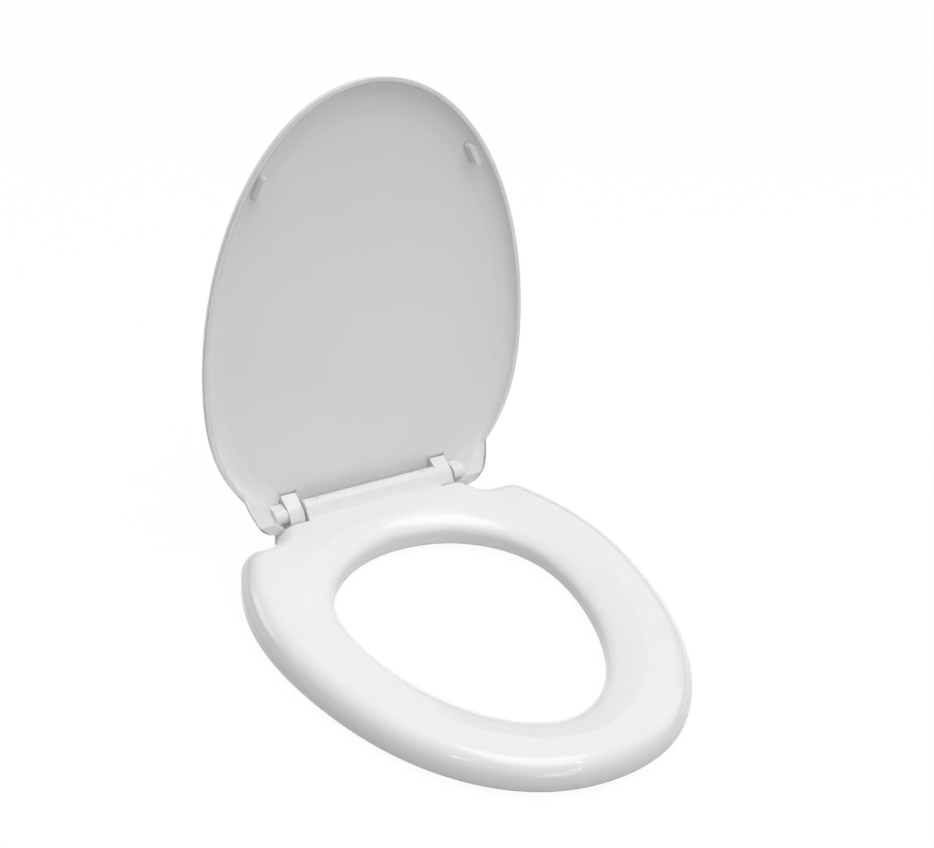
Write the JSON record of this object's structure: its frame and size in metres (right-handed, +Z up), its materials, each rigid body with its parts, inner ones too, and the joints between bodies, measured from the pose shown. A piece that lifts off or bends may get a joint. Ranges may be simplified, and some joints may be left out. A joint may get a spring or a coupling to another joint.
{
  "type": "toilet seat",
  "caption": "Oval moulded toilet seat with a hinged lid: a ring with a sloped opening and a rear tongue, a shallow lid, and hinge posts that bolt through the bowl's deck.",
  "frame": {"origin": "on the bowl's deck, midway between the two hinge bolts", "axes": "+X along the hinge axis to the seat's right as seen from the front, -Y towards the seat's front, +Z up from the deck; the seat is down and the lid stands open"},
  "size_m": [0.3478, 0.4387, 0.4715],
  "materials": {
    "shell": "glossy white moulding",
    "hinge": "glossy white moulding",
    "pin": "plain white plastic",
    "buffer": "soft white rubber",
    "fixing": "plain white plastic"
  },
  "bodies": {
    "mounting": {"hinge_post_left": "hinge", "hinge_post_right": "hinge", "hinge_pin_left": "pin", "hinge_pin_right": "pin", "hinge_bolt_left": "fixing", "hinge_bolt_right": "fixing", "base_gasket_left": "buffer", "base_gasket_right": "buffer", "clamp_washer_left": "fixing", "clamp_washer_right": "fixing", "wing_nut_left": "fixing", "wing_nut_right": "fixing"},
    "seat": {"seat_ring": "shell", "seat_buffer_front_left": "buffer", "seat_buffer_front_right": "buffer", "seat_buffer_rear_left": "buffer", "seat_buffer_rear_right": "buffer"},
    "lid": {"lid": "shell", "lid_buffer_left": "shell", "lid_buffer_right": "shell"}
  },
  "joints": [
    {"name": "seat_hinge", "type": "hinge", "parent": "mounting", "child": "seat", "pos_m": [0, 0, 0.035], "axis": [-1, 0, 0], "range_deg": [0, 92]},
    {"name": "lid_hinge", "type": "hinge", "parent": "seat", "child": "lid", "pos_m": [0, 0, 0.035], "axis": [-1, 0, 0], "range_deg": [-94, 0]}
  ]
}
